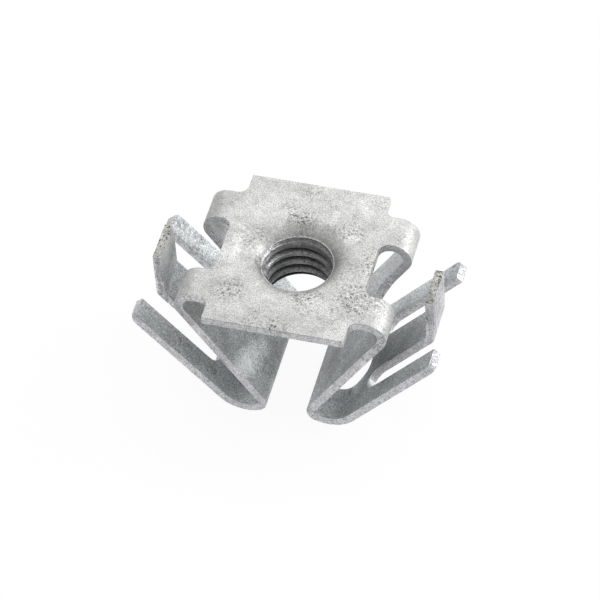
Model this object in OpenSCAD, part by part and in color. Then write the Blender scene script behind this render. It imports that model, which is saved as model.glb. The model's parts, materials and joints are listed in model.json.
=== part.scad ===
// Extruded nut: a spring nut folded from one strip of galvanised sheet.
// A flat plate carries a tapped collar that is drawn down out of the sheet. Past each side bend
// the strip runs down and inwards as a leg, folds back in a rounded foot, and rises again as an
// arm. Two slots split each arm into two straight prongs and a middle tongue, bent upright.
// Z is up. The origin lies under the thread's axis, on the surface that the two feet stand on.
// X runs from side bend to side bend, and Y along the plate, between its two free ends.

/* [Sheet] */
// Thickness of the sheet
sheet_t = 0.9; // [0.7:0.05:1.1]
// Width of the folded strip, along Y
strip_w = 14.5; // [13:0.1:16]
// Length of the plate over its two free ends, along Y
plate_l = 19.7; // [18:0.1:22]
// Width of the plate's free ends, along X
end_w = 14.6; // [13.5:0.1:15.6]
// Radius in the corners between the free ends and the strip
notch_r = 1; // [0.4:0.1:1.2]

/* [Tapped collar] */
// Nominal diameter of the thread
thread_d = 8; // [6:0.5:8.5]
// Pitch of the thread
thread_pitch = 1.25; // [1:0.05:1.5]
// Depth of the collar below the plate's top face
collar_depth = 6.8; // [4.5:0.1:7.4]
// Chamfer inside the collar's lower end
end_chamfer = 0.25; // [0.1:0.05:0.5]
// Wall of the collar outside the thread
collar_wall = 0.6; // [0.4:0.05:0.9]
// Radius over which the plate's top face rolls down into the hole
entry_r = 2.2; // [1.2:0.1:2.6]
// Turn of that roll, from level down to its rim, in degrees
entry_turn = 60; // [40:5:70]
// Distance that the rim of the roll reaches in past the thread's nominal radius
rim_in = 0.25; // [0:0.05:0.4]
// Radius under the plate where the collar leaves it
root_r = 1.1; // [0.3:0.05:1.2]

/* [Side bends and windows] */
// Width over the two side bends
bends_w = 22; // [21:0.1:24]
// Inside radius of the side bends
bend_r = 1.1; // [0.8:0.05:1.4]
// Width of the window through each side bend, along Y
window_w = 7; // [5.5:0.1:8]
// Distance between the inner edges of the two windows
windows_gap = 15.6; // [14.6:0.1:16.4]
// Radius of the windows' corners in the plate
window_r = 1.1; // [0.6:0.1:1.8]
// Length of each window down its leg, past the bend
window_drop = 6; // [4:0.1:8]

/* [Legs and feet] */
// Lean of the legs from upright, in degrees
leg_lean = 32; // [28:0.5:34]
// Straight length of each leg
leg_l = 14.3; // [13:0.1:15]
// Inside radius of the tight fold under each leg
fold_r = 0.5; // [0.3:0.05:0.8]
// Turn of the tight fold, in degrees
fold_turn = 100; // [92:1:108]
// Inside radius of the rounded foot
foot_r = 2.7; // [2:0.1:3.5]
// Width of the hole in each foot, along Y
foot_hole_w = 6.4; // [5:0.1:7.5]
// Length of the hole in each foot, along X
foot_hole_l = 4.8; // [4.2:0.1:5]

/* [Arms] */
// Rise of the arms above level, in degrees
arm_rise = 49.5; // [46:0.5:52]
// Straight length of each arm, up to the tips of its prongs
arm_l = 13.6; // [12:0.1:15]
// Length of each arm left whole below the slots
arm_root_l = 2.1; // [1.5:0.1:3]
// Width of each prong
prong_w = 2.4; // [1.8:0.1:3]
// Radius at the outer corner of each prong's tip
prong_tip_r = 0.8; // [0.3:0.1:1.2]
// Width of the slots between the prongs and the tongue
slot_w = 2.6; // [2:0.1:3]
// Length of each arm up to the bend of its tongue
tongue_at = 11.1; // [9:0.1:11.5]
// Inside radius of the tongue's bend
tongue_r = 0.6; // [0.4:0.05:1]
// Straight upright length of the tongue
tongue_l = 5.2; // [3.5:0.1:6]

/* [Hidden] */
$fn = 96;
zinc = [0.72, 0.73, 0.72];
// Margin by which a cutter runs past what it cuts
cut = 1;
// Length by which the chamfer under the rim runs on inside the roll, so that the two meet
lap = 0.05;
// Largest turn between two facets of a bend, in degrees
facet = 6;

// The folded strip is a list of steps: [straight length, turn in degrees, inside radius of turn].
// A place along it is [x, z, heading in degrees], on the middle of the sheet's thickness.
// All is drawn about the plate, whose middle is the plane z = 0 until nut() lifts it.
function after_flat(at, step) =
    [at[0] + step[0] * cos(at[2]), at[1] + step[0] * sin(at[2]), at[2]];
function after_turn(at, step, share = 1) =
    let (to = at[2] + share * step[1], r = sign(step[1]) * (step[2] + sheet_t / 2))
    [at[0] + r * (sin(to) - sin(at[2])), at[1] - r * (cos(to) - cos(at[2])), to];
function after_steps(at, steps, count) =
    count == 0 ? at
    : let (before = after_steps(at, steps, count - 1), step = steps[count - 1])
      after_turn(after_flat(before, step), step);

// Point on a face of the sheet: side is 1 on the plate's top face, and -1 on its underside
function face_point(at, side) =
    [at[0] - side * sheet_t / 2 * sin(at[2]), at[1] + side * sheet_t / 2 * cos(at[2])];
function face_points(steps, side) = [
    for (i = [0 : len(steps) - 1])
        let (step = steps[i],
             at = after_flat(after_steps([0, 0, 0], steps, i), step),
             count = ceil(abs(step[1]) / facet))
        for (j = [step[0] > 0 ? 0 : 1 : count])
            face_point(after_turn(at, step, count == 0 ? 0 : j / count), side)
];
function reversed(points) = [for (i = [len(points) - 1 : -1 : 0]) points[i]];
function mirrored(points) = [for (p = points) [-p[0], p[1]]];

// Side bend, leg, tight fold, foot and whole root of the arm, from the plate outwards
plate_flat = bends_w / 2 - bend_r - sheet_t;
root_steps = [
    [plate_flat, -90 - leg_lean, bend_r],
    [leg_l, fold_turn, fold_r],
    [0, arm_rise + 90 + leg_lean - fold_turn, foot_r],
    [arm_root_l + slot_w / 2, 0, 0],
];
prong_steps = concat(root_steps, [[arm_l - arm_root_l - slot_w / 2, 0, 0]]);
tongue_steps = concat(root_steps, [
    [tongue_at - arm_root_l - slot_w / 2, 90 - arm_rise, tongue_r],
    [tongue_l, 0, 0],
]);

// Places where the leg, the foot, the open stretch of the slots and the prongs' tips start
leg_at = after_steps([0, 0, 0], root_steps, 1);
foot_at = after_steps([0, 0, 0], root_steps, 2);
slots_at = after_steps([0, 0, 0], root_steps, 4);
tips_at = after_steps([0, 0, 0], prong_steps, 5);
// Corner from which the slots are cleared beside the upright tongue, clear of the side bend
tongue_foot = after_flat(slots_at, tongue_steps[4]);
tongue_at_x = tongue_foot[0] - sheet_t;
tongue_at_z = tongue_foot[1] - sheet_t;
// Drop from the plate's middle to the lowest line of the feet
drop = (foot_r + sheet_t / 2) * (1 - cos(foot_at[2])) - foot_at[1] + sheet_t / 2;
// Centre line of the tight fold
fold_x = foot_at[0] - (fold_r + sheet_t / 2) * sin(foot_at[2]);
fold_z = foot_at[1] + (fold_r + sheet_t / 2) * cos(foot_at[2]);

// Middle of each slot, across the strip
slot_y = strip_w / 2 - prong_w - slot_w / 2;

// Heights and radii of the tapped hole, by the basic profile of a metric thread
top_z = sheet_t / 2;
collar_z = top_z - collar_depth;
thread_top = top_z - entry_r * (1 - cos(entry_turn));
bore_r = thread_d / 2 - 0.5413 * thread_pitch;
rim_r = thread_d / 2 - rim_in;
collar_r = thread_d / 2 + collar_wall;

// Puts children at a place on both halves of the nut, X on along the sheet and Z square to it
module at_both(at) {
    for (mx = [0, 1])
        mirror([mx, 0, 0]) translate([at[0], 0, at[1]]) rotate([0, -at[2], 0]) children();
}

// The folded strip from tip to tip, between two places on Y
module strip(steps, y1, y2) {
    half = concat(face_points(steps, 1), reversed(face_points(steps, -1)));
    translate([0, y2, 0]) rotate([90, 0, 0])
        linear_extrude(y2 - y1) polygon(concat(half, reversed(mirrored(half))));
}

// Cutter for one slot of each arm, round at its closed end and open past the tips
module slots(y) {
    at_both(slots_at) translate([0, y, -sheet_t]) {
        cylinder(d = slot_w, h = 2 * sheet_t);
        translate([0, -slot_w / 2, 0]) cube([arm_l, slot_w, 2 * sheet_t]);
    }
    // The same slot beside the upright length of the tongue
    at_both([tongue_at_x, tongue_at_z, 0]) translate([0, y - slot_w / 2, 0])
        cube([arm_l, slot_w, tongue_l + 4 * sheet_t]);
}

// Cutter that rounds the outer corners of the prongs' tips
module tip_corners() {
    for (my = [0, 1])
        mirror([0, my, 0]) at_both(tips_at)
            translate([-prong_tip_r, strip_w / 2 - prong_tip_r, -sheet_t])
                linear_extrude(2 * sheet_t)
                    difference() {
                        square(prong_tip_r + cut);
                        circle(prong_tip_r);
                    }
}

// Both halves of the strip, with their prongs and tongues
module folded_strip() {
    difference() {
        strip(tongue_steps, -slot_y, slot_y);
        slots(slot_y);
        slots(-slot_y);
    }
    for (my = [0, 1])
        mirror([0, my, 0]) difference() {
            strip(prong_steps, slot_y, strip_w / 2);
            slots(slot_y);
            tip_corners();
        }
}

// Free ends of the plate, with a fillet in each corner where the strip leaves them
module plate_ends() {
    translate([0, 0, -sheet_t / 2]) linear_extrude(sheet_t) {
        square([end_w, plate_l], center = true);
        for (mx = [0, 1], my = [0, 1])
            mirror([mx, 0]) mirror([0, my])
                translate([end_w / 2, strip_w / 2]) difference() {
                    square(notch_r);
                    translate([notch_r, notch_r]) circle(notch_r);
                }
    }
}

// Cutter for both windows: round corners in the plate, a clear bend and a round lower end
module windows() {
    width = bends_w / 2 - windows_gap / 2;
    corner_y = window_w / 2 - window_r;
    at_both([windows_gap / 2, 0, 0])
        translate([0, 0, -sheet_t]) linear_extrude(2 * sheet_t) {
            translate([window_r, -window_w / 2]) square([width, window_w]);
            translate([0, -corner_y]) square([window_r + cut, 2 * corner_y]);
            for (s = [-1, 1]) translate([window_r, s * corner_y]) circle(window_r);
        }
    // Stops just outside the bend, so that it leaves the tongues beyond it whole
    at_both([plate_flat, 0, 0])
        translate([0, -window_w / 2, leg_at[1] - sheet_t])
            cube([bends_w / 2 - plate_flat + sheet_t, window_w, 2 * sheet_t - leg_at[1]]);
    at_both(leg_at) translate([0, 0, -sheet_t]) linear_extrude(2 * sheet_t) {
        translate([-sheet_t, -window_w / 2])
            square([window_drop - window_w / 2 + sheet_t, window_w]);
        translate([window_drop - window_w / 2, 0]) circle(d = window_w);
    }
}

// Cutter for the holes in both feet. It reaches the middle of the tight fold's side, and it
// stays off the leg above.
module foot_holes() {
    round_r = foot_hole_l / 2;
    flat_y = foot_hole_w / 2 - round_r;
    hole_x = fold_x - fold_r - sheet_t / 2 + round_r;
    intersection() {
        at_both([hole_x, fold_z, 0]) linear_extrude(2 * foot_hole_l, center = true) {
            for (s = [-1, 1]) translate([0, s * flat_y]) circle(round_r);
            square([foot_hole_l, 2 * flat_y], center = true);
        }
        union() {
            translate([-bends_w, -strip_w / 2, fold_z - foot_hole_l])
                cube([2 * bends_w, strip_w, foot_hole_l]);
            at_both([fold_x, fold_z, -leg_lean])
                translate([0, -strip_w / 2, -foot_hole_l])
                    cube([bends_w, strip_w, 3 * foot_hole_l]);
        }
    }
}

// Collar drawn down out of the plate, solid until it is bored
module collar() {
    translate([0, 0, collar_z]) cylinder(r = collar_r, h = collar_depth);
    translate([0, 0, -sheet_t / 2 - root_r]) rotate_extrude()
        difference() {
            square([collar_r + root_r, root_r + sheet_t / 2]);
            translate([collar_r + root_r, 0]) circle(root_r);
            translate([collar_r + root_r, root_r]) square(sheet_t);
        }
}

// Bore of the tapped hole, turned as one profile: a chamfer at the collar's end, the wall, a
// chamfer up to the rim, and the rolled entry
module bore() {
    roll_x = rim_r + entry_r * sin(entry_turn);
    rotate_extrude() difference() {
        polygon([
            [0, collar_z - cut],
            [bore_r + end_chamfer, collar_z - cut],
            [bore_r + end_chamfer, collar_z],
            [bore_r, collar_z + end_chamfer],
            [bore_r, thread_top - rim_r + bore_r],
            [rim_r + lap, thread_top + lap],
            [roll_x, thread_top],
            [roll_x, top_z + cut],
            [0, top_z + cut],
        ]);
        translate([roll_x, top_z - entry_r]) circle(entry_r);
    }
}

module nut() {
    color(zinc) translate([0, 0, drop]) difference() {
        union() {
            folded_strip();
            plate_ends();
            collar();
        }
        windows();
        foot_holes();
        bore();
    }
}

nut();
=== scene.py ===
"""Looks of the extruded nut: a galvanised sheet nut with a real thread, on a pale floor.

Sizes and places are millimetres unless a comment says otherwise. Blender counts in metres, so
they are multiplied by MM where they reach an object or a material.
"""
import json
import math

import bmesh
import bpy
import numpy as np
from mathutils import Matrix, Vector


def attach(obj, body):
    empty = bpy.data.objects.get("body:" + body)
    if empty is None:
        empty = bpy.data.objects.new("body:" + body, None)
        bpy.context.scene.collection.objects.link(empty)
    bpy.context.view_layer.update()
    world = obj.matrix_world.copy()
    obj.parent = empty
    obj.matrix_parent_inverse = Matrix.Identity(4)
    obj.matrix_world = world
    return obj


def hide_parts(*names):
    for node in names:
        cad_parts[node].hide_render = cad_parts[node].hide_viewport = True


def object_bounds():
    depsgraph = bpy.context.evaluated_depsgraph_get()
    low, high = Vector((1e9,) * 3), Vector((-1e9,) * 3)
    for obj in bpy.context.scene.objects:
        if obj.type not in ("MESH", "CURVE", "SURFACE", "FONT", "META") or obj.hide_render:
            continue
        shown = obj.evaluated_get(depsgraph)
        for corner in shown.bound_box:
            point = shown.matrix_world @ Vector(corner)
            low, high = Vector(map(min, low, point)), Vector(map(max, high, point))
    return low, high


MM = 0.001
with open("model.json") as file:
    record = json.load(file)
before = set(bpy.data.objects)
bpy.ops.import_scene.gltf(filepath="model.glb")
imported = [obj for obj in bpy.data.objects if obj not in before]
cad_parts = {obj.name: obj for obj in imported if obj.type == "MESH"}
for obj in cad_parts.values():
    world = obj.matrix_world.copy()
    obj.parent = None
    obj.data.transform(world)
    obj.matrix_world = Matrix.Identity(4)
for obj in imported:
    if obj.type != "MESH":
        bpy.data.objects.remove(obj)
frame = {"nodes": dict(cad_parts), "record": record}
cad_lo, cad_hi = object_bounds()
TOP = cad_hi.z / MM

# The photo's view. The camera stands AZIMUTH round from +X and ELEVATION up, seen from the middle
# of the plate's top, and it leans by ROLL, all in degrees.
AZIMUTH, ELEVATION, ROLL = -71.80, 48.85, -4.31
DISTANCE = 371.0
# Focal length and the place of the plate's middle, in pixels of the square picture
FRAME_PX = 600
FOCAL_PX = 3678.3
MIDDLE_PX = (297.079, 256.729)
SENSOR = 36

# Sizes of the solid that the scene needs, as in the part's source. Bends are inside radii and
# turns are degrees.
SHEET_T = 0.9
STRIP_W, PLATE_L, BENDS_W, BEND_R = 14.5, 19.7, 22.0, 1.1
LEG_LEAN, LEG_L = 32.0, 14.3
FOLD_R, FOLD_TURN, FOOT_R = 0.5, 100.0, 2.7
ARM_RISE, ARM_L = 49.5, 13.6
TONGUE_AT, TONGUE_R, TONGUE_L = 11.1, 0.6, 5.2
THREAD_R, PITCH, RIM_R = 4.0, 1.25, 3.75
ENTRY_R, ENTRY_TURN = 2.2, 60.0
COLLAR_DEPTH, END_CHAMFER = 6.8, 0.25
BORE_R = next(m["dims"]["r_mm"] for m in frame["record"]["mounts"] if m["name"] == "thread")
THREAD_TOP = TOP - ENTRY_R * (1 - math.cos(math.radians(ENTRY_TURN)))
COLLAR_Z = TOP - COLLAR_DEPTH

# Round-over of the sheared edges, and distance within which corners of the solid are one
EDGE_R = 0.085
WELD = 0.002
# Bead that runs round the rim of the hole
BEAD_W, BEAD_H = 0.13, 0.06
# The thread's crests stay this far outside the solid's bore, and its roots this far inside the
# nominal radius. Its profile is rounded by this share.
CREST_GAP, ROOT_GAP, ROUNDED = 0.02, 0.04, 0.6

# Materials of the sheet: its skin; the sheared walls; bright walls and eased edges, whose pale
# zinc also paints the edges' highlights and paints light on the left windows' walls; edges with
# dark burrs; and the tongues' ends
FACE, SHEARED, RIM, BURR, TIP = range(5)
# Limits that tell these apart: the dish round the hole, the windows' inner side and lower part,
# the prongs' inner sides, and what only the ends of tongues and prongs lie past
DISH_R = 5.6
WINDOW_X, WINDOW_Z = 7.4, 12.5
PRONG_Y = 4.5
TONGUE_END_X, TONGUE_END_Z = 12.0, 8.0
PRONG_END_X, PRONG_TIP_X = 12.5, 14.4


def add_object(name, data):
    obj = bpy.data.objects.new(name, data)
    bpy.context.collection.objects.link(obj)
    return obj


def add_camera():
    """The photo's view, with the plate's middle at MIDDLE_PX, and no shift."""
    azimuth, elevation, roll = (math.radians(angle) for angle in (AZIMUTH, ELEVATION, ROLL))
    outward = Vector((math.cos(azimuth), math.sin(azimuth), 0))
    level = Vector((-math.sin(azimuth), math.cos(azimuth), 0))
    back = outward * math.cos(elevation) + Vector((0, 0, math.sin(elevation)))
    right = level * math.cos(roll) + back.cross(level) * math.sin(roll)
    up = back.cross(right)
    place = back * DISTANCE + Vector((0, 0, TOP))
    # It turns until the picture's middle, and not the plate's, is on its axis
    aside, above = ((FRAME_PX / 2 - middle) / FOCAL_PX for middle in MIDDLE_PX)
    back = (back - right * aside + up * above).normalized()
    right = (right - back * right.dot(back)).normalized()
    data = bpy.data.cameras.new("camera")
    data.sensor_width = SENSOR
    data.lens = FOCAL_PX / FRAME_PX * SENSOR
    data.clip_start, data.clip_end = 0.01, 5
    cam = add_object("camera", data)
    turn = Matrix((right, back.cross(right), back)).transposed().to_4x4()
    cam.matrix_world = Matrix.Translation(place * MM) @ turn
    bpy.context.scene.camera = cam


def walk(steps, flat_step=0.1, turn_step=1.5):
    """Points close together along the middle of the sheet, from the plate's middle out."""
    x, z, head = 0.0, 0.0, 0.0
    points = [(x, z)]
    for length, turn, inside_r in steps:
        count = max(1, int(length / flat_step))
        for _ in range(count):
            x += length / count * math.cos(head)
            z += length / count * math.sin(head)
            points.append((x, z))
        count = max(1, int(abs(turn) / turn_step)) if turn else 0
        for _ in range(count):
            to = head + math.radians(turn) / count
            r = math.copysign(inside_r + SHEET_T / 2, turn)
            x += r * (math.sin(to) - math.sin(head))
            z -= r * (math.cos(to) - math.cos(head))
            head = to
            points.append((x, z))
    return np.array(points)


def off_middle(points):
    """Distance of each point from the middle of the sheet, on either half of the nut."""
    root = [
        (BENDS_W / 2 - BEND_R - SHEET_T, -90 - LEG_LEAN, BEND_R),
        (LEG_L, FOLD_TURN, FOLD_R),
        (0.0, ARM_RISE + 90 + LEG_LEAN - FOLD_TURN, FOOT_R),
    ]
    middle = np.vstack([
        walk(root + [(ARM_L, 0, 0)]),
        walk(root + [(TONGUE_AT, 90 - ARM_RISE, TONGUE_R), (TONGUE_L, 0, 0)]),
    ]) + np.array([0, TOP - SHEET_T / 2])
    flat = np.stack([np.abs(points[:, 0]), points[:, 2]], -1)
    return np.array([np.sqrt(((middle - p) ** 2).sum(-1).min()) for p in flat])


def in_bore(face, slack=0.02):
    """Whether a face of the solid is on the wall that the thread takes the place of."""
    return all(
        math.hypot(v.co.x, v.co.y) / MM < THREAD_R + slack
        and COLLAR_Z - slack < v.co.z / MM < THREAD_TOP + slack
        for v in face.verts
    )


def sheet_class(face, off):
    """The material of a face, from where it is, how it faces, and off, which says how far each
    corner is off the middle of the sheet."""
    centre = face.calc_center_median() / MM
    normal = face.normal
    out, aside = abs(centre.x), abs(centre.y)
    if normal.z > 0.9 and centre.z > TONGUE_END_Z and out > TONGUE_END_X:
        return TIP
    in_dish = math.hypot(centre.x, centre.y) < DISH_R
    on_plate = abs(normal.z) > 0.999 and centre.z > TOP - 2 and out < BENDS_W / 2 + 0.1
    on_skin = abs(normal.y) < 0.2 and all(off[v.index] > SHEET_T / 2 - 0.03 for v in face.verts)
    faces_out = normal.x * math.copysign(1, centre.x) > 0.55 and normal.z > 0.65
    prong_end = faces_out and out > PRONG_END_X and aside > PRONG_Y
    if in_dish or on_plate or (on_skin and not prong_end):
        return FACE
    on_strip = aside < STRIP_W / 2 + 0.15
    # The left windows' walls take the bright material, as painted light
    lit_left_window = centre.x < -WINDOW_X and centre.z > WINDOW_Z and on_strip
    return RIM if lit_left_window else SHEARED


def has_burrs(face):
    """Whether an eased edge is on top of the plate, at its front or right, or at a prong's tip."""
    centre = face.calc_center_median() / MM
    on_top = centre.z > TOP - 0.12
    front_or_right = centre.y < 0.25 - PLATE_L / 2 or centre.x > WINDOW_X
    prong_tip = abs(centre.x) > PRONG_TIP_X and abs(centre.y) > PRONG_Y
    return (on_top and front_or_right) or prong_tip


def make_sheet():
    """The folded sheet: the solid's own form, with its sheared edges eased and no bore wall."""
    node = frame["nodes"]["nut"]
    bm = bmesh.new()
    bm.from_mesh(node.data)
    bm.transform(node.matrix_world)
    bmesh.ops.remove_doubles(bm, verts=bm.verts, dist=WELD * MM)
    bmesh.ops.delete(bm, geom=[f for f in bm.faces if in_bore(f)], context="FACES")
    bmesh.ops.dissolve_limit(bm, angle_limit=math.radians(0.6), verts=bm.verts, edges=bm.edges)

    bm.verts.index_update()
    off = off_middle(np.array([tuple(v.co) for v in bm.verts]) / MM)
    for face in bm.faces:
        face.material_index = sheet_class(face, off)
    sharp = [
        e for e in bm.edges
        if len(e.link_faces) == 2 and e.calc_face_angle(0) > math.radians(40)
    ]
    # The eased edges take the bright material, which also paints their highlights
    bmesh.ops.bevel(
        bm, geom=sharp, offset=EDGE_R * MM, offset_type="OFFSET", segments=3, profile=0.5,
        affect="EDGES", clamp_overlap=True, material=RIM, harden_normals=False,
    )
    bmesh.ops.triangulate(bm, faces=[f for f in bm.faces if len(f.verts) > 4])
    for face in bm.faces:
        face.smooth = True
        if face.material_index == RIM and has_burrs(face):
            face.material_index = BURR
    mesh = bpy.data.meshes.new("sheet")
    bm.to_mesh(mesh)
    bm.free()
    return add_object("sheet", mesh)


def make_thread():
    """The tapped wall: a right-hand helix between the rolled entry and the collar's end."""
    around, rim_rows, rim_depth, wall_rows = 288, 20, 0.3, 190
    turn = np.linspace(0, 2 * np.pi, around, endpoint=False)
    z = np.concatenate([
        THREAD_TOP - np.linspace(0, rim_depth, rim_rows, endpoint=False),
        np.linspace(THREAD_TOP - rim_depth, COLLAR_Z, wall_rows),
    ])
    below, above = THREAD_TOP - z, z - COLLAR_Z
    # Basic profile: crest P/4 wide, root P/8 wide, straight flanks, then rounded by the zinc
    phase = (z[:, None] / PITCH - turn[None, :] / (2 * np.pi)) % 1.0
    straight = np.clip((np.abs(phase - 0.5) * 2 - 1 / 4) / (1 - 1 / 8 - 1 / 4), 0, 1)
    smooth = straight * straight * (3 - 2 * straight)
    depth = smooth * ROUNDED + straight * (1 - ROUNDED)
    wall = BORE_R + CREST_GAP + (THREAD_R - BORE_R - CREST_GAP - ROOT_GAP) * depth
    # A bead at the rim, then a taper that cuts the first crests short, as the entry does
    bead = RIM_R - BEAD_W * np.sin(np.clip(below / BEAD_H, 0, 1) * math.pi / 2)
    taper_depth = [BEAD_H, BEAD_H + 0.12, 1.1, 1.9]
    taper_r = [RIM_R - BEAD_W, RIM_R - 0.03, RIM_R - 0.19, BORE_R]
    taper = np.interp(below, taper_depth, taper_r)
    in_bead = (below < BEAD_H)[:, None]
    wall = np.where(in_bead, bead[:, None], np.maximum(wall, taper[:, None]))
    chamfer = np.clip(END_CHAMFER - above, 0, END_CHAMFER)
    wall = np.maximum(wall, BORE_R + chamfer[:, None])
    # Both ends meet the solid's own edges
    wall[0, :] = RIM_R
    wall[-1, :] = BORE_R + END_CHAMFER

    rows = len(z)
    verts = [
        (wall[j, i] * math.cos(turn[i]) * MM, wall[j, i] * math.sin(turn[i]) * MM, z[j] * MM)
        for j in range(rows) for i in range(around)
    ]
    faces = [
        (j * around + i, j * around + (i + 1) % around,
         (j + 1) * around + (i + 1) % around, (j + 1) * around + i)
        for j in range(rows - 1) for i in range(around)
    ]
    mesh = bpy.data.meshes.new("thread")
    mesh.from_pydata(verts, [], faces)
    mesh.polygons.foreach_set("use_smooth", [True] * len(faces))
    # The bead takes the bright material, which also paints its highlight
    bead_faces = int(np.searchsorted(below, BEAD_H)) * around
    slots = [int(i < bead_faces) for i in range(len(faces))]
    mesh.polygons.foreach_set("material_index", slots)
    mesh.update()
    return add_object("thread", mesh)


ORIGIN = (0, 0, 0)
# Axes along which a distance counts: away from an upright line, or from a plane square to X or Y
ROUND_Z, ALONG_X, ALONG_Y = (1, 1, 0), (1, 0, 0), (0, 1, 0)


class Nodes:
    """Short calls for building a material's node tree, with sizes in millimetres."""

    def __init__(self, name):
        self.mat = bpy.data.materials.new(name)
        self.mat.use_nodes = True
        self.tree = self.mat.node_tree
        self.shader = self.tree.nodes["Principled BSDF"]
        self.place = self.tree.nodes.new("ShaderNodeTexCoord").outputs["Object"]

    def link(self, a, b):
        self.tree.links.new(a, b)

    def vector(self, operation, a, b=None):
        """The outcome of a vector operation on a link and, if given, three plain numbers."""
        n = self.tree.nodes.new("ShaderNodeVectorMath")
        n.operation = operation
        self.link(a, n.inputs[0])
        if b is not None:
            n.inputs[1].default_value = b
        return n.outputs["Value" if operation == "LENGTH" else "Vector"]

    def math(self, operation, a, b):
        n = self.tree.nodes.new("ShaderNodeMath")
        n.operation = operation
        for socket, value in zip(n.inputs, (a, b)):
            if isinstance(value, (int, float)):
                socket.default_value = value
            else:
                self.link(value, socket)
        return n.outputs[0]

    def times(self, first, *others):
        for other in others:
            first = self.math("MULTIPLY", first, other)
        return first

    def noise(self, size, detail=3, rough=0.5, drawn=(1, 1, 1)):
        """Noise with lumps about this size, longer along an axis where drawn is below 1."""
        n = self.tree.nodes.new("ShaderNodeTexNoise")
        n.inputs["Scale"].default_value = 1 / (size * MM)
        n.inputs["Detail"].default_value = detail
        n.inputs["Roughness"].default_value = rough
        self.link(self.vector("MULTIPLY", self.place, drawn), n.inputs["Vector"])
        return n.outputs["Fac"]

    def span(self, value, low, high, to_low=0.0, to_high=1.0):
        """A value carried from one range to another, and held at its ends."""
        n = self.tree.nodes.new("ShaderNodeMapRange")
        ends = {"From Min": low, "From Max": high, "To Min": to_low, "To Max": to_high}
        for socket, number in ends.items():
            n.inputs[socket].default_value = number
        self.link(value, n.inputs["Value"])
        return n.outputs["Result"]

    def height(self, low, high):
        """0 up to one height above the feet and 1 from another on."""
        parts = self.tree.nodes.new("ShaderNodeSeparateXYZ")
        self.link(self.place, parts.inputs[0])
        return self.span(parts.outputs["Z"], low * MM, high * MM)

    def distance(self, point, near, far, at_near, at_far, axes=(1, 1, 1)):
        """A value that changes with the distance from a point, counted along these axes."""
        off = self.vector("SUBTRACT", self.place, [c * MM for c in point])
        length = self.vector("LENGTH", self.vector("MULTIPLY", off, axes))
        return self.span(length, near * MM, far * MM, at_near, at_far)

    def ramp(self, fac, low, high):
        """A colour between two, low at 0 and high at 1."""
        n = self.tree.nodes.new("ShaderNodeValToRGB")
        for element, colour in zip(n.color_ramp.elements, (low, high)):
            element.color = (*colour, 1)
        self.link(fac, n.inputs["Fac"])
        return n.outputs["Color"]

    def shaded(self, colour, level):
        """A colour times a level."""
        n = self.tree.nodes.new("ShaderNodeMix")
        n.data_type = "RGBA"
        n.blend_type = "MULTIPLY"
        n.inputs[0].default_value = 1.0
        self.link(colour, n.inputs[6])
        self.link(level, n.inputs[7])
        return n.outputs[2]

    def bump(self, height, strength, distance, under=None):
        n = self.tree.nodes.new("ShaderNodeBump")
        n.inputs["Strength"].default_value = strength
        n.inputs["Distance"].default_value = distance * MM
        self.link(height, n.inputs["Height"])
        if under:
            self.link(under, n.inputs["Normal"])
        return n.outputs["Normal"]


# Places seen in the photo. Around the stains (point, reach) the dark pits gather. The lists of
# (point, reach, strength) that follow paint pale places: pale zinc bloom and painted highlights on
# the plate, a painted highlight on the left leg, painted light on the cut walls at the left front,
# and a painted highlight on the thread's left flank.
STAINS = [
    ((7.4, -4.2, 17.0), 3.6), ((-0.8, 5.0, 17.0), 2.0), ((8.2, 0.4, 17.0), 2.6),
    ((2.0, -4.8, 17.0), 2.2), ((-5.6, -5.6, 17.0), 2.2), ((0.0, -9.8, 17.0), 2.4),
]
# Pale zinc bloom on the plate, and painted highlights, most of all left of the hole
PLATE_BLOOM_AND_PAINTED_HIGHLIGHT = [
    ((-6.2, 0.6, 17.0), 3.5, 0.42), ((9.6, -4.8, 16.9), 2.6, 0.25), ((4.8, 3.7, 17.0), 2.2, 0.3),
    ((4.7, 7.8, 17.0), 1.8, 0.3), ((7.6, -1.6, 17.0), 1.6, 0.3),
]
# Painted highlight on the left leg's inner face
LEFT_LEG_PAINTED_HIGHLIGHT = [
    ((-4.6, -6.4, 6.0), 1.6, 1.9), ((-4.4, -5.3, 5.5), 1.8, 2.3),
    ((-4.0, -3.7, 5.0), 1.8, 2.3), ((-3.7, -2.4, 4.5), 1.5, 1.8),
]
# Painted light on the cut walls at the left front
LEFT_WALL_PAINTED_LIGHT = [((-9.4, -7.3, 16.4), 2.6, 0.6)]
# Painted highlight on the thread's left flank
THREAD_PAINTED_HIGHLIGHT = [((-3.9, 0.6, 14.8), 2.9, 3.6)]


def pitting(m, pits, spread):
    """1 on sound zinc, and 1 - pits in dark pits. They gather in the stains and in some cloudy
    places, and spread is their share everywhere else."""
    gather = m.span(m.noise(2.6, detail=2), 0.50, 0.72, spread, 0.8)
    for point, reach in STAINS:
        stain = m.distance(point, near=0.3 * reach, far=reach, at_near=1.0, at_far=0.0)
        gather = m.math("MAXIMUM", gather, stain)
    small = m.span(m.noise(0.34, detail=5, rough=0.85), 0.43, 0.47, 1.0, 0.0)
    large = m.span(m.noise(1.1, detail=6, rough=0.8), 0.38, 0.43, 1.0, 0.0)
    either = m.math("MAXIMUM", small, m.times(large, gather))
    return m.math("SUBTRACT", 1.0, m.times(either, gather, pits))


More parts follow.
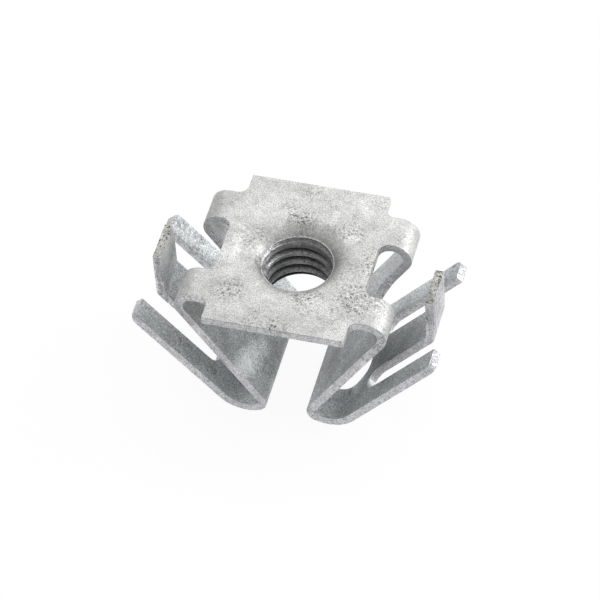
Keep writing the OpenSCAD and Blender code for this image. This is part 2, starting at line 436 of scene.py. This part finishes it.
def bloom_and_painted_light(m, pale_and_lit):
    """1 or more: pale zinc bloom and painted light, broken up by the zinc's flakes above and by
    fine painted glints below.
    """
    level = 0.0
    for point, reach, strength in pale_and_lit:
        pale = m.distance(point, near=0.2, far=reach, at_near=strength, at_far=0.0)
        level = m.math("MAXIMUM", level, pale)
    upper = m.height(8, 10)
    lower = m.math("SUBTRACT", 1.0, upper)
    flakes = m.span(m.noise(0.45, detail=4, rough=0.7), 0.38, 0.62)
    glints = m.span(m.noise(0.17, rough=0.8), 0.33, 0.65)
    broken = m.math("MAXIMUM", m.times(flakes, upper), m.times(glints, lower))
    return m.math("ADD", m.times(level, broken), 1.0)


def streaking(m, drawn):
    """Level in the upright drawing marks, which are strong on the tongues and faint elsewhere."""
    marks = m.span(m.noise(0.42, rough=0.6, drawn=(1, 1, 0.12)), 0.40, 0.58, -drawn, drawn)
    outside = m.distance(ORIGIN, near=13.0, far=13.4, at_near=0.15, at_far=1.0, axes=ALONG_X)
    on_tongue = m.distance(ORIGIN, near=2.6, far=2.9, at_near=1.0, at_far=0.15, axes=ALONG_Y)
    return m.math("ADD", m.times(marks, outside, on_tongue), 1.0)


def thread_shade(m, root):
    """Painted shade in the thread: the level falls to root in its grooves, below the entry."""
    crest, deep = BORE_R + 0.04, THREAD_R - 0.25
    groove = m.distance(ORIGIN, near=crest, far=deep, at_near=1.0, at_far=root, axes=ROUND_Z)
    return m.math("MAXIMUM", groove, m.height(TOP - 3.0, TOP - 2.2))


def sheet_shade(m, speckle):
    """Painted shade over the sheet: darker in the dish and at the right of the hole, on the side
    bends and most on the left one, and on the right leg's middle, and speckled under the plate,
    a grain that also paints glints."""
    dish = m.distance(ORIGIN, near=4.0, far=6.0, at_near=0.77, at_far=1.0, axes=ROUND_Z)
    dish_right = m.distance((4.8, 1.2, 16.5), near=0.8, far=2.6, at_near=0.86, at_far=1.0)
    bends = m.distance(ORIGIN, near=9.0, far=12.0, at_near=1.0, at_far=0.88, axes=ALONG_X)
    left_bend = m.distance(
        (-10.6, 0, 0), near=0.6, far=4.2, at_near=0.84, at_far=1.0, axes=ALONG_X,
    )
    right_leg = m.distance((11.2, -0.5, 5.0), near=2.2, far=6.5, at_near=0.66, at_far=1.0)
    below = m.math("SUBTRACT", 1.0, m.height(12, 15))
    upper = m.math("MAXIMUM", m.times(bends, left_bend), below)
    specks = m.times(m.span(m.noise(0.2, rough=0.8), 0.38, 0.62, -speckle, speckle), below)
    return m.times(dish, dish_right, upper, m.math("ADD", specks, 1.0), right_leg)


def zinc(name, tone, cool, metallic, rough, grain, pits, patches, spread,
         pale_and_lit=(), root=None, drawn=0.0, speckle=0.32):
    """Galvanised zinc: cloudy patches, grain, pale blooms with painted highlights, painted shade,
    and dark pits that gather in places.

    tone and cool are its colours on the plate and on the legs. grain, pits, patches, drawn and
    speckle say how strong the grain, the pits, the cloudy patches, the drawing marks and the
    specks under the plate are, and spread is the pits' share outside the places where they
    gather. root is the level of the painted shade in the thread's grooves, and is left out on
    the sheet, which gets painted shade of its own.
    """
    m = Nodes(name)
    cloud = m.noise(3.4, detail=4, rough=0.62)
    cloud = m.span(cloud, 0.32, 0.68, 1 - patches, 1 + patches * 0.5)
    fine = m.noise(0.13, detail=2, rough=0.7)
    fine = m.span(fine, 0.28, 0.60, 1 - grain * 1.5, 1 + grain * 0.2)
    flake = m.noise(0.62, rough=0.6)
    flake = m.span(flake, 0.3, 0.7, 1 - grain * 0.3, 1 + grain * 0.25)
    pit = pitting(m, pits, spread)
    level = m.times(cloud, fine, flake, pit)
    # Pale zinc bloom and painted light
    if pale_and_lit:
        level = m.times(level, bloom_and_painted_light(m, pale_and_lit))
    if drawn:
        level = m.times(level, streaking(m, drawn))
    # Painted shade: in the thread's grooves, or over the sheet
    level = m.times(level, thread_shade(m, root) if root else sheet_shade(m, speckle))
    tint = m.ramp(m.height(12, 16.4), cool, tone)
    m.link(m.shaded(tint, level), m.shader.inputs["Base Color"])
    m.shader.inputs["Metallic"].default_value = metallic
    gloss = m.span(m.noise(0.7), 0.3, 0.7, rough - 0.08, rough + 0.08)
    m.link(gloss, m.shader.inputs["Roughness"])
    normal = m.bump(m.noise(1.4), strength=0.55, distance=0.09)
    normal = m.bump(m.noise(0.24, rough=0.65), strength=1.0, distance=0.10 * grain, under=normal)
    normal = m.bump(pit, strength=0.6, distance=0.04, under=normal)
    m.link(normal, m.shader.inputs["Normal"])
    return m.mat


def make_materials():
    """The sheet's five materials in the order of their classes, and the thread's own two."""
    # The skin: pale zinc bloom with painted highlights on the plate, a painted highlight on the
    # left leg, and the sheet's painted shade
    face = zinc(
        "zinc_face", tone=(0.79, 0.79, 0.775), cool=(0.69, 0.71, 0.72),
        metallic=0.58, rough=0.50, grain=0.37, pits=0.85, patches=0.18, spread=0.0,
        pale_and_lit=PLATE_BLOOM_AND_PAINTED_HIGHLIGHT + LEFT_LEG_PAINTED_HIGHLIGHT,
    )
    # The sheared walls, with painted light on the cut walls at the left front
    sheared = zinc(
        "zinc_sheared", tone=(0.70, 0.70, 0.72), cool=(0.72, 0.72, 0.75),
        metallic=0.72, rough=0.40, grain=0.40, pits=0.85, patches=0.14, spread=0.3,
        pale_and_lit=LEFT_WALL_PAINTED_LIGHT, drawn=0.26, speckle=0.12,
    )
    # Bright zinc on the eased edges and the bead, partly a painted highlight, and painted light on
    # the left windows' walls
    rim = zinc(
        "zinc_rim", tone=(0.94, 0.95, 0.97), cool=(0.90, 0.91, 0.93),
        metallic=0.50, rough=0.28, grain=0.50, pits=0.60, patches=0.25, spread=0.5,
    )
    # Burrs are dark along the plate's edges and pale on the prongs' tips, which lie lower
    burr = zinc(
        "zinc_burr", tone=(0.05, 0.05, 0.048), cool=(0.60, 0.60, 0.58),
        metallic=0.40, rough=0.50, grain=0.55, pits=0.90, patches=0.45, spread=0.8,
    )
    # The thread, with a painted highlight on its left flank and painted shade in its grooves
    wall = zinc(
        "zinc_thread", tone=(0.45, 0.45, 0.45), cool=(0.43, 0.43, 0.44),
        metallic=0.50, rough=0.32, grain=0.50, pits=0.60, patches=0.25, spread=0.3,
        pale_and_lit=THREAD_PAINTED_HIGHLIGHT, root=0.30,
    )
    tip = zinc(
        "zinc_tip", tone=(0.70, 0.70, 0.665), cool=(0.70, 0.70, 0.665),
        metallic=0.40, rough=0.50, grain=0.50, pits=0.95, patches=0.35, spread=1.0,
    )
    return (face, sheared, rim, burr, tip), (wall, rim)


def add_lamp(name, at, size, power):
    """A round lamp that points at the nut. Its place and size are metres."""
    data = bpy.data.lights.new(name, "AREA")
    data.shape = "DISK"
    data.size = size
    data.energy = power
    lamp = add_object(name, data)
    lamp.location = at
    toward_nut = Vector((0, 0, 0.01)) - Vector(at)
    lamp.rotation_euler = toward_nut.to_track_quat("-Z", "Y").to_euler()


def add_world():
    """A studio room that is brightest to the right and behind the nut, and dimmest in front."""
    world = bpy.data.worlds.new("studio")
    bpy.context.scene.world = world
    world.use_nodes = True
    nt = world.node_tree
    toward = nt.nodes.new("ShaderNodeVectorMath")
    toward.operation = "DOT_PRODUCT"
    toward.inputs[1].default_value = (0.20, 0.34, 0.12)
    nt.links.new(nt.nodes.new("ShaderNodeTexCoord").outputs["Generated"], toward.inputs[0])
    level = nt.nodes.new("ShaderNodeMath")
    level.inputs[1].default_value = 0.775
    nt.links.new(toward.outputs["Value"], level.inputs[0])
    nt.links.new(level.outputs[0], nt.nodes["Background"].inputs["Strength"])
    nt.nodes["Background"].inputs["Color"].default_value = (1, 1, 1, 1)


def add_floor():
    """A pale floor that reads white to the camera and to reflections, and keeps a faint shadow."""
    bpy.ops.mesh.primitive_plane_add(size=3, location=(0, 0, -0.05 * MM))
    floor = bpy.context.object
    floor.name = "floor"
    m = Nodes("floor")
    m.shader.inputs["Base Color"].default_value = (0.86, 0.86, 0.86, 1)
    m.shader.inputs["Roughness"].default_value = 0.9
    glow = m.tree.nodes.new("ShaderNodeEmission")
    glow.inputs["Strength"].default_value = 1.03
    path = m.tree.nodes.new("ShaderNodeLightPath")
    seen = path.outputs["Is Camera Ray"]
    for other in ("Is Glossy Ray", "Is Transmission Ray"):
        seen = m.math("MAXIMUM", seen, path.outputs[other])
    blend = m.tree.nodes.new("ShaderNodeMixShader")
    m.link(m.span(seen, 0.0, 1.0, 0.0, 0.88), blend.inputs[0])
    m.link(m.shader.outputs[0], blend.inputs[1])
    m.link(glow.outputs[0], blend.inputs[2])
    m.link(blend.outputs[0], m.tree.nodes["Material Output"].inputs["Surface"])
    floor.data.materials.append(m.mat)


add_camera()
sheet = make_sheet()
thread = make_thread()
for piece, slots in zip((sheet, thread), make_materials()):
    for material in slots:
        piece.data.materials.append(material)
    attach(piece, "root")
    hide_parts("nut")

add_lamp("key", at=(0.294, 0.137, 0.154), size=0.17, power=0.37)
add_lamp("back", at=(-0.10, 0.26, 0.22), size=0.26, power=0.08)
add_world()
add_floor()
bpy.context.scene.view_settings.view_transform = "Standard"
